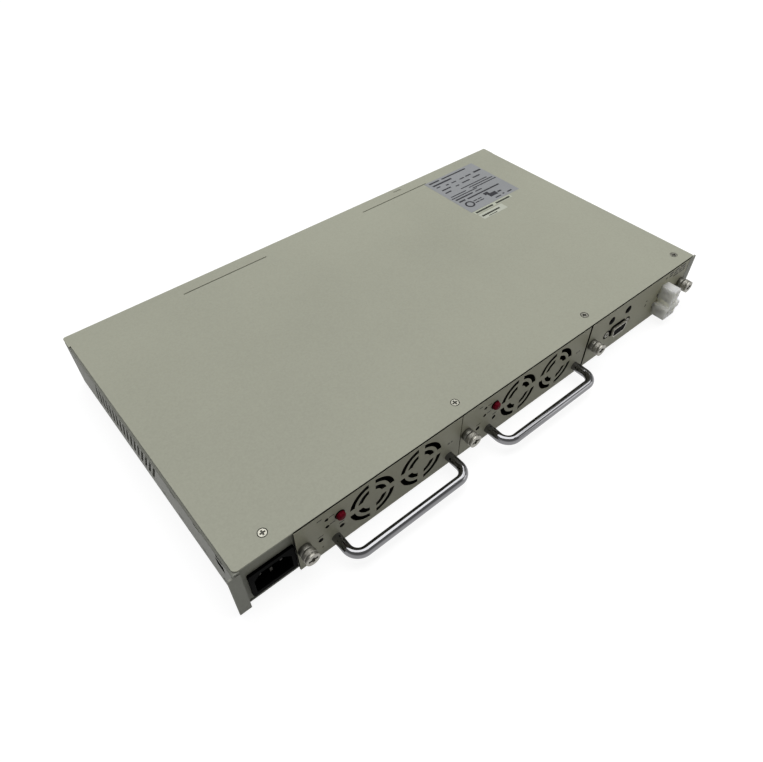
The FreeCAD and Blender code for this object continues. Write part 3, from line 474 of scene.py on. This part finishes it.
# Status lens and lamps. A domed dark-red lens pressed in through a thin black collar that stands in for the
# shade at its edge, small smoked lamps set back in their holes, and two smoked domes that fill the round
# windows of the interface faceplate.
lens_red = tone(116, 12, 32)
finish, tree, shader, place = new_finish("red_lens", lens_red, roughness=0.4, specular=0.04)
facets = tree.nodes.new("ShaderNodeTexVoronoi")
facets.inputs["Scale"].default_value = 1100
tree.links.new(place, facets.inputs["Vector"])
colour_by(tree, shader, facets.outputs["Distance"], [(0.0, lens_red), (0.8, darker(lens_red, 0.45))])
raised_by(tree, shader, facets.outputs["Distance"], height=0.0001, strength=0.25)
coat(finish, *[m + "_status_lens" for m in modules])
dark_lens = moulding("dark_lens", tone(4, 4, 4), roughness=0.5, specular=0.008)
coat(dark_lens, *[m + "_indicator_lamps" for m in modules])


def turned(middle, section, steps):
    """A closed ring or a dome turned around an axis along Y. Its section holds (radius, y) points, and a
    radius of 0 at both ends closes a dome."""
    form = bmesh.new()
    rings = []
    for i in range(steps):
        turn = 2 * math.pi * i / steps
        rings.append([form.verts.new((middle.x + r * math.cos(turn), y, middle.z + r * math.sin(turn)))
                      for r, y in section])
    for ring, after in zip(rings, rings[1:] + rings[:1]):
        for k in range(len(section)):
            n = (k + 1) % len(section)
            form.faces.new((ring[k], ring[n], after[n], after[k]))
    bmesh.ops.remove_doubles(form, verts=form.verts, dist=0.000001)
    bmesh.ops.dissolve_degenerate(form, edges=form.edges, dist=0.0000001)
    bmesh.ops.recalc_face_normals(form, faces=form.faces)
    return form


lens_radius = 0.00315
collar_wall = 0.00035
collar_reach = 0.0006
collar_rim = lens_radius + collar_wall
collar_front = plate_front - collar_reach
collar_section = [
    (lens_radius, plate_front), (collar_rim, plate_front), (collar_rim, plate_front - collar_reach * 0.6),
    (collar_rim - collar_wall * 0.4, collar_front), (lens_radius, collar_front),
]
# Painted shade: the black collar darkens the rim of each lens as shade would.
for module in modules:
    low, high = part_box(module + "_status_lens")
    form = turned((low + high) / 2, collar_section, steps=64)
    fitted(module + "_lens_shade_collar", form, black_plastic, module)

window_x = {"left": 0.0255, "right": 0.0457}
window_z = 0.0313
window_radius = 0.0033
window_reach = 0.0008
window_back = plate_front + 0.0010
dome_steps = 6
dome_section = [(0, window_back), (window_radius, window_back), (window_radius, plate_front)]
for k in range(1, dome_steps):
    turn = math.pi / 2 * k / dome_steps
    dome_section.append((window_radius * math.cos(turn), plate_front - window_reach * math.sin(turn)))
dome_section.append((0, plate_front - window_reach))
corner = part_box("interface_faceplate")[0]
for side, x in window_x.items():
    form = turned(corner + Vector((x, 0, window_z)), dome_section, steps=48)
    for face in form.faces:
        face.smooth = True
    fitted(f"interface_lamp_{side}", form, dark_lens, "interface")

# Pull handles. One steel rod bent to a bow, polished and chromium plated, held by two screws from behind
# the faceplate.
chrome = tone(132, 132, 134)
finish, tree, shader, place = new_finish("chrome_rod", chrome, roughness=0.08, metallic=1.0)
haze = grain(tree, place, size=0.012)
polish = grain(tree, place, size=0.0008, detail=2.0, stretch=(12, 1, 1))
colour_by(tree, shader, haze, [(0.3, darker(chrome, 0.92)), (0.7, chrome)])
gloss_by(tree, shader, haze, low=0.06, high=0.12)
raised_by(tree, shader, polish, height=0.000004, strength=0.1)
coat(finish, *[m + "_handle" for m in modules])
coat(plated_steel, *[m + "_handle_screws" for m in modules])

# Ferrules and captive thumbscrews. Turned steel, nickel plated: the ferrule is pressed into the faceplate,
# and the screw's knob has a slotted end and a straight knurl rolled around it.


def nickel_plate(name, colour):
    """Turned and nickel-plated steel: fine tool rings around the axis, which runs along Y."""
    finish, tree, shader, place = new_finish(name, colour, roughness=0.3, metallic=1.0)
    cloud = grain(tree, place, size=0.004)
    rings = grain(tree, place, size=0.00025, detail=2.0, stretch=(60, 1, 60))
    colour_by(tree, shader, cloud, [(0.3, darker(colour, 0.86)), (0.7, colour)])
    gloss_by(tree, shader, cloud, low=0.38, high=0.50)
    raised_by(tree, shader, rings, height=0.000004, strength=0.2)
    return finish


ferrules = ["module_1_ferrule", "module_2_ferrule", "interface_ferrules"]
# Painted shade: the ferrules' nickel is a darker copy of the knobs', for the shade close to the faceplate.
coat(nickel_plate("shaded_ferrule_nickel", tone(122, 121, 114)), *ferrules)
screw_bodies = {
    "module_1_thumbscrew": "module_1_screw",
    "module_2_thumbscrew": "module_2_screw",
    "interface_thumbscrew_left": "interface_left_screw",
    "interface_thumbscrew_right": "interface_right_screw",
}
nickel = nickel_plate("nickel", tone(158, 156, 148))
coat(nickel, *screw_bodies)
turned_edge = 0.0003
ease_edges(turned_edge, *screw_bodies, *ferrules)
knob_length = 0.0053
knurl_teeth = 60
knurl_height = 0.00005
knurl_foot = 0.00004
knurl_sunk = -0.0003
knurl_inset = 0.0004
knurl_length = 0.0026
knurl_lead = 0.0002
for node, body in screw_bodies.items():
    low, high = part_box(node)
    middle = (low + high) / 2
    knob_radius = (high.x - low.x) / 2
    rear = low.y + knob_length - knurl_inset
    front = rear - knurl_length
    rows = [(rear, knurl_sunk, 0.0), (rear - knurl_lead, knurl_foot, knurl_height),
            (front + knurl_lead, knurl_foot, knurl_height), (front, knurl_sunk, 0.0)]
    form = bmesh.new()
    rings = []
    for y, foot, peak in rows:
        ring = []
        for i in range(knurl_teeth * 2):
            turn = math.pi * i / knurl_teeth
            r = knob_radius + foot + (peak if i % 2 == 0 else 0.0)
            ring.append(form.verts.new((middle.x + r * math.cos(turn), y, middle.z + r * math.sin(turn))))
        rings.append(ring)
    for ring, after in zip(rings, rings[1:]):
        for i in range(len(ring)):
            n = (i + 1) % len(ring)
            form.faces.new((ring[i], ring[n], after[n], after[i]))
    form.faces.new(rings[0])
    form.faces.new(rings[-1])
    bmesh.ops.recalc_face_normals(form, faces=form.faces)
    fitted(node + "_knurl", form, nickel, body)

# Data connector. A drawn shell, bright at the rim and painted dark behind the faceplate as the shade in its
# cutout, around a black moulded insert with nine contact holes; a hexagon jack post sits in a clearance hole
# at each side.
interface_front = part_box("interface_faceplate")[0].y
bright_reach = 0.0016
shade_reach = 0.0006
shell_steel = tone(196, 194, 186)
finish, tree, shader, place = new_finish("shell_plate", shell_steel, roughness=0.32, metallic=1.0)
# Painted shade: the shell's colour falls nearly to black from the rim back into the faceplate's cutout.
depth = ranged(tree, axes_of(tree, place)["Y"], interface_front - bright_reach, interface_front - shade_reach)
colour_by(tree, shader, depth, [(0.0, shell_steel), (0.9, darker(shell_steel, 0.04))])
gloss_by(tree, shader, grain(tree, place, size=0.002), low=0.26, high=0.40)
coat(finish, "interface_data_shell")
coat(black_plastic, "interface_data_insert")
coat(nickel_plate("jack_nickel", tone(138, 136, 128)), "interface_jack_posts")
post_edge = 0.0002
ease_edges(post_edge, "interface_jack_posts")

# Output connector. A housing of natural nylon, white and slightly translucent, that stands out of the
# interface faceplate and holds four plated contacts; its colour is darker near the faceplate as painted
# shade.
nylon_tone = tone(253, 252, 228)
nylon_reach = (0.018, 0.018, 0.016)
finish, tree, shader, place = new_finish("nylon", nylon_tone, roughness=0.45, specular=0.3)
housing_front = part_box("interface_output_housing")[0].y
# Painted shade: the nylon's colour darkens from the housing's front towards the faceplate.
nylon_shade = ranged(tree, axes_of(tree, place)["Y"], interface_front, housing_front)
cloud = grain(tree, place, size=0.006)
stops = [(0.1, darker(nylon_tone, 0.85)), (0.5, nylon_tone), (0.9, nylon_tone)]
colour_by(tree, shader, mixed(tree, 0.2, nylon_shade, cloud, kind="FLOAT"), stops)
shader.inputs["Subsurface Weight"].default_value = 1.0
shader.inputs["Subsurface Radius"].default_value = nylon_reach
shader.inputs["Subsurface Scale"].default_value = 1.0
gloss_by(tree, shader, cloud, low=0.40, high=0.52)
raised_by(tree, shader, grain(tree, place, size=0.0004, detail=2.0), height=0.00002, strength=0.4)
coat(finish, "interface_output_housing")
housing_edge = 0.0009
ease_edges(housing_edge, "interface_output_housing")
coat(contact_metal, "interface_output_contacts")

# Top cover and its screws. A flat painted sheet that hooks in at the rear and is held by four countersunk
# cross-head screws along the front; the sunk ring around each head, the front cut edge and the screws' cross
# recesses are painted dark as shade.
cover_low, cover_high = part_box("top_cover")
screw_low, screw_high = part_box("cover_screws")
screw_line = (screw_low.y + screw_high.y) / 2
ring_half = 0.0036
sunk_depth = (0.00008, 0.00115)
edge_round = 0.0002
edge_margin = 0.0001
sunk_rings = [("X", screw_low.x - ring_half, -screw_low.x + ring_half),
              ("Y", screw_line - ring_half, screw_line + ring_half),
              ("Z", cover_high.z - sunk_depth[1], cover_high.z - sunk_depth[0])]
front_edge = [("X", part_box("module_1_faceplate")[0].x, cover_high.x),
              ("Y", cover_low.y - edge_margin, cover_low.y + edge_round),
              ("Z", cover_low.z, cover_high.z - edge_round)]
cover_paint = textured_paint("cover_paint", tone(155, 156, 141))
# Painted shade: the sunk rings around the screw heads and the cover's front cut edge are darkened.
painted_shade_in_cuts(cover_paint, sunk_rings, front_edge)
coat(cover_paint, "top_cover")
cover_edge = 0.0003
ease_edges(cover_edge, "top_cover")
cross_depth = (0.0001, 0.0006)
screw_tone = tone(150, 149, 139)
finish, tree, shader, place = new_finish("plated_screw", screw_tone, roughness=0.4, metallic=1.0)
height = axes_of(tree, place)["Z"]
# Painted shade: the cross recess darkens with depth, nearly to black at its bottom.
above_cross = ranged(tree, height, screw_high.z - cross_depth[1], screw_high.z - cross_depth[0])
colour_by(tree, shader, above_cross, [(0.0, darker(screw_tone, 0.14)), (0.95, screw_tone)])
gloss_by(tree, shader, grain(tree, place, size=0.001), low=0.34, high=0.46)
coat(finish, "cover_screws")
head_edge = 0.0004
ease_edges(head_edge, "cover_screws")

# Labels. Three thin polyester labels stuck on the cover, a silver-grey one at the rear right and two pale
# strips in front of it. They are printed with plain dark bars, and the grey one with a plain ring too.
label_thick = 0.08 * mm
rating_bars = [
    (3.4, 57.3, 12.2, 1.9), (18.8, 57.3, 30.6, 1.7), (3.7, 52.3, 23.1, 2.2), (4.5, 48.7, 4.6, 1.4),
    (14.6, 46.7, 3.3, 1.6), (21.2, 46.5, 5.7, 1.4), (31.6, 46.5, 5.6, 1.4), (39.2, 46.6, 7.0, 1.7),
    (50.4, 46.8, 9.1, 2.2), (5.2, 41.9, 10.9, 1.7), (20.2, 39.9, 4.5, 1.4), (29.0, 40.3, 9.6, 1.6),
    (43.1, 40.5, 8.9, 1.7), (4.6, 36.7, 7.2, 1.7), (20.8, 33.6, 33.2, 1.2), (28.0, 30.6, 30.3, 1.2),
    (3.5, 28.7, 18.6, 1.2), (29.7, 27.5, 30.2, 1.2), (1.7, 25.6, 31.5, 1.2), (3.2, 22.0, 21.1, 1.8),
    (27.5, 21.9, 8.0, 1.4), (3.5, 17.7, 7.4, 2.0), (13.2, 17.3, 40.1, 1.8), (29.7, 11.9, 5.4, 3.8),
    (31.9, 7.1, 9.5, 5.0), (42.6, 8.3, 4.4, 2.0), (14.4, 8.5, 4.6, 1.2), (14.4, 11.5, 4.6, 1.2),
    (20.0, 8.5, 4.6, 1.2), (20.0, 11.5, 4.6, 1.2), (33.9, 2.7, 7.0, 1.4), (43.6, 3.5, 2.2, 1.4),
    (49.3, 2.9, 5.5, 1.6),
]
serial_bars = [(1.6, 0.9, 20.8, 2.1), (26.2, 0.8, 17.4, 2.1)]
strip_bars = [(1.6, 3.4, 21.4, 1.9), (6.8, 0.9, 10.3, 0.8)]
ring_inner, ring_outer = 3.0 * mm, 4.7 * mm
ring_x, ring_y = 8.8 * mm, 10.6 * mm
# A field is left, front, length and width in millimetres; a bar is the same from its label's corner.
labels = [
    ("rating_label", (121.2, 42.5, 61.2, 61.5), tone(140, 142, 144), rating_bars, tone(38, 39, 44)),
    ("serial_label", (122.2, 37.6, 45.8, 4.4), tone(174, 178, 162), serial_bars, tone(46, 47, 38)),
    ("strip_label", (122.8, 28.2, 29.0, 8.0), tone(176, 179, 166), strip_bars, tone(46, 48, 38)),
]
for name, (left, front, length, width), colour, bars, print_colour in labels:
    finish, tree, shader, place = new_finish(name, colour, roughness=0.45, specular=0.25)
    cloud = grain(tree, place, size=0.02)
    colour_by(tree, shader, cloud, [(0.3, darker(colour, 0.94)), (0.7, darker(colour, 1.04))])
    gloss_by(tree, shader, cloud, low=0.40, high=0.52)
    corner = Vector((left * mm, front * mm, cover_high.z))
    field = [(corner, Vector((length * mm, width * mm, label_thick)))]
    fitted(name, flat_boxes(field), finish, "shelf")
    print_ink = moulding(name + "_ink", print_colour, roughness=0.55)
    print_corner = corner + Vector((0, 0, label_thick))
    boxes = [(print_corner + Vector((x, y, 0)) * mm, Vector((long * mm, tall * mm, ink_thick)))
             for x, y, long, tall in bars]
    fitted(name + "_bars", flat_boxes(boxes), print_ink, "shelf")
    if name == "rating_label":
        section = [(ring_inner, 0), (ring_outer, 0), (ring_outer, ink_thick), (ring_inner, ink_thick)]
        form = turned(Vector(), section, steps=48)
        spot = print_corner + Vector((ring_x, ring_y, 0))
        form.transform(Matrix.Translation(spot) @ Matrix.Rotation(math.pi / 2, 4, "X"))
        fitted(name + "_ring", form, print_ink, "shelf")

# Studio floor. A pale sheet that runs out of sight under the shelf and takes its shadow.
# The camera and mirror-like surfaces see it nearly white.
floor_half = 6.0
floor_gap = 0.0005
floor_pale = (0.40, 0.40, 0.39, 1)
floor_seen = (0.20, 0.20, 0.20, 1)
floor_glow = 0.88
floor_corners = [(x * floor_half, y * floor_half, -floor_gap)
                 for x, y in ((-1, -1), (1, -1), (1, 1), (-1, 1))]
mesh = bpy.data.meshes.new("studio_floor")
mesh.from_pydata(floor_corners, [], [(0, 1, 2, 3)])
floor = bpy.data.objects.new("studio_floor", mesh)
bpy.context.scene.collection.objects.link(floor)
finish = bpy.data.materials.new("studio_floor")
finish.use_nodes = True
tree = finish.node_tree
shader = tree.nodes["Principled BSDF"]
shader.inputs["Roughness"].default_value = 0.9
shader.inputs["Specular IOR Level"].default_value = 0.0
shader.inputs["Emission Color"].default_value = (1, 1, 1, 1)
rays = tree.nodes.new("ShaderNodeLightPath").outputs
mirrored = worked(tree, "MAXIMUM", rays["Is Glossy Ray"], rays["Is Transmission Ray"])
seen = worked(tree, "MAXIMUM", rays["Is Camera Ray"], mirrored)
tree.links.new(mixed(tree, seen, floor_pale, floor_seen), shader.inputs["Base Color"])
tree.links.new(worked(tree, "MULTIPLY", seen, floor_glow), shader.inputs["Emission Strength"])
floor.data.materials.append(finish)
floor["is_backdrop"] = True

# Studio room. Even weak light from all around, white behind the shelf.
# Mirror-like surfaces see white walls under a grey ceiling.
room_light = 0.20
wall_white = 1.0
ceiling_grey = 0.28
ceiling_start, ceiling_end = 0.10, 0.50
world = bpy.data.worlds.new("studio")
bpy.context.scene.world = world
world.use_nodes = True
tree = world.node_tree
surround = tree.nodes["Background"]
surround.inputs["Color"].default_value = (1, 1, 1, 1)
rays = tree.nodes.new("ShaderNodeLightPath").outputs
mirrored = worked(tree, "MAXIMUM", rays["Is Glossy Ray"], rays["Is Transmission Ray"])
upward = axes_of(tree, tree.nodes.new("ShaderNodeTexCoord").outputs["Generated"])["Z"]
room = ranged(tree, upward, ceiling_start, ceiling_end, low=wall_white, high=ceiling_grey)
level = mixed(tree, mirrored, room_light, room, kind="FLOAT")
behind = mixed(tree, rays["Is Camera Ray"], level, wall_white, kind="FLOAT")
tree.links.new(behind, surround.inputs["Strength"])

# Lights. One broad soft box overhead, a smaller one beside it at the right, and a weak fill from the right
# front that opens the faceplates.


def soft_light(name, place, aim, size, power):
    """A square soft box that looks at a point."""
    lamp = bpy.data.lights.new(name, "AREA")
    lamp.size = size
    lamp.energy = power
    box = bpy.data.objects.new(name, lamp)
    box.location = place
    box.rotation_euler = (Vector(aim) - Vector(place)).to_track_quat("-Z", "Y").to_euler()
    bpy.context.scene.collection.objects.link(box)


soft_light("overhead", place=(0.2, 0.35, 1.9), aim=(0, 0, 0), size=1.8, power=34)
soft_light("overhead_right", place=(1.45, -0.38, 1.9), aim=(0, 0, 0), size=0.95, power=7)
soft_light("right_fill", place=(1.3, -1.2, 0.6), aim=(0.1, 0, 0), size=0.8, power=2.6)

# Camera. It stands in front of the left end and looks down along the shelf, so that the cover, the left
# wall and the faceplates all show.
glass = bpy.data.cameras.new("camera")
glass.sensor_width = 36
glass.lens = 30.004
glass.clip_start = 0.01
glass.clip_end = 40
camera = bpy.data.objects.new("camera", glass)
camera.location = (-0.24604, -0.28257, 0.35043)
camera.rotation_euler = Euler([math.radians(angle) for angle in (42.9521, 0.5849, -39.6431)])
bpy.context.scene.collection.objects.link(camera)
bpy.context.scene.camera = camera
bpy.context.scene.view_settings.view_transform = "Standard"

boxes = {"cad": [list(corner) for corner in cad_box], "visual": [list(corner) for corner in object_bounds()]}
